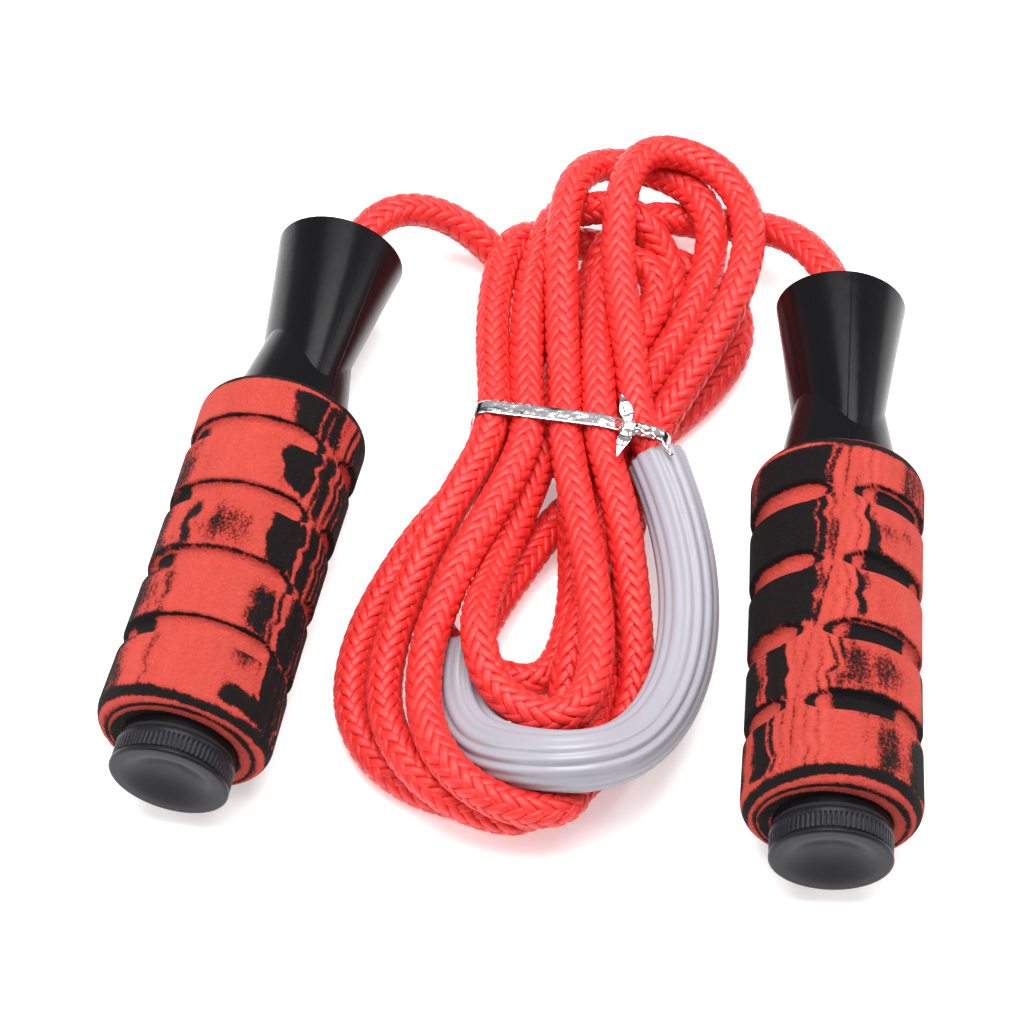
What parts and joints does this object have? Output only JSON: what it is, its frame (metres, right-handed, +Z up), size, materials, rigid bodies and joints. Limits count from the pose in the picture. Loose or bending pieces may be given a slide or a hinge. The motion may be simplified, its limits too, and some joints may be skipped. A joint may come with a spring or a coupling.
{
  "type": "jump rope",
  "caption": "Jump rope with foam-gripped swivel handles, screw-on end caps and a braided rope tied in a hank.",
  "frame": {"origin": "on the surface that the rope lies on, under the middle of the two handles", "axes": "+Z up; +Y from the end caps towards the horns; +X from the left handle to the right one"},
  "size_m": [0.1848, 0.2027, 0.04],
  "materials": {
    "black_plastic": "satin",
    "marbled_foam": "matte",
    "red_rope": "woven",
    "clear_pvc": "gloss",
    "tie_foil": "polished",
    "bearing_steel": "polished",
    "cage_brass": "satin",
    "spring_steel": "satin",
    "zinc_steel": "satin",
    "seal_rubber": "matte"
  },
  "bodies": {
    "rope": {"rope_lead_left": "red_rope", "rope_lead_right": "red_rope", "rope_hank": "red_rope", "pvc_sleeve": "clear_pvc", "tie_band": "tie_foil", "tie_knot": "tie_foil", "tie_flag_upper": "tie_foil", "tie_flag_lower": "tie_foil", "tie_tail": "tie_foil", "swivel_spindle_left": "zinc_steel", "spindle_washer_left": "zinc_steel", "spindle_locknut_left": "zinc_steel", "bearing_inner_race_left": "bearing_steel", "swivel_spindle_right": "zinc_steel", "spindle_washer_right": "zinc_steel", "spindle_locknut_right": "zinc_steel", "bearing_inner_race_right": "bearing_steel"},
    "handle_left": {"handle_body_left": "black_plastic", "foam_grip_left": "marbled_foam", "bearing_outer_race_left": "bearing_steel", "retaining_ring_left": "spring_steel"},
    "cage_left": {"bearing_cage_left": "cage_brass", "bearing_balls_left": "bearing_steel"},
    "seal_left": {"cap_seal_left": "seal_rubber"},
    "cap_left": {"end_cap_left": "black_plastic"},
    "handle_right": {"handle_body_right": "black_plastic", "foam_grip_right": "marbled_foam", "bearing_outer_race_right": "bearing_steel", "retaining_ring_right": "spring_steel"},
    "cage_right": {"bearing_cage_right": "cage_brass", "bearing_balls_right": "bearing_steel"},
    "seal_right": {"cap_seal_right": "seal_rubber"},
    "cap_right": {"end_cap_right": "black_plastic"}
  },
  "joints": [
    {"name": "handle_left_spin", "type": "hinge", "parent": "rope", "child": "handle_left", "pos_m": [-0.07661, -0.06367, 0.02], "axis": [0.225, 0.9744, 0], "continuous": true},
    {"name": "cage_left_roll", "type": "hinge", "parent": "rope", "child": "cage_left", "pos_m": [-0.07661, -0.06367, 0.02], "axis": [0.225, 0.9744, 0], "continuous": true},
    {"name": "seal_left_slide", "type": "slide", "parent": "handle_left", "child": "seal_left", "axis": [-0.225, -0.9744, 0], "range_m": [0, 0.0075]},
    {"name": "cap_left_unscrew", "type": "hinge", "parent": "seal_left", "child": "cap_left", "pos_m": [-0.07661, -0.06367, 0.02], "axis": [-0.225, -0.9744, 0], "range_deg": [0, 1800]},
    {"name": "handle_right_spin", "type": "hinge", "parent": "rope", "child": "handle_right", "pos_m": [0.0661, -0.08305, 0.02], "axis": [0.0698, 0.9976, 0], "continuous": true},
    {"name": "cage_right_roll", "type": "hinge", "parent": "rope", "child": "cage_right", "pos_m": [0.0661, -0.08305, 0.02], "axis": [0.0698, 0.9976, 0], "continuous": true},
    {"name": "seal_right_slide", "type": "slide", "parent": "handle_right", "child": "seal_right", "axis": [-0.0698, -0.9976, 0], "range_m": [0, 0.0075]},
    {"name": "cap_right_unscrew", "type": "hinge", "parent": "seal_right", "child": "cap_right", "pos_m": [0.0661, -0.08305, 0.02], "axis": [-0.0698, -0.9976, 0], "range_deg": [0, 1800]}
  ],
  "couplings": [
    {"joint": "cage_left_roll", "follows": "handle_left_spin", "ratio": 0.63233},
    {"joint": "seal_left_slide", "follows": "cap_left_unscrew", "m_per_rad": 0.00023873},
    {"joint": "cage_right_roll", "follows": "handle_right_spin", "ratio": 0.63233},
    {"joint": "seal_right_slide", "follows": "cap_right_unscrew", "m_per_rad": 0.00023873}
  ]
}
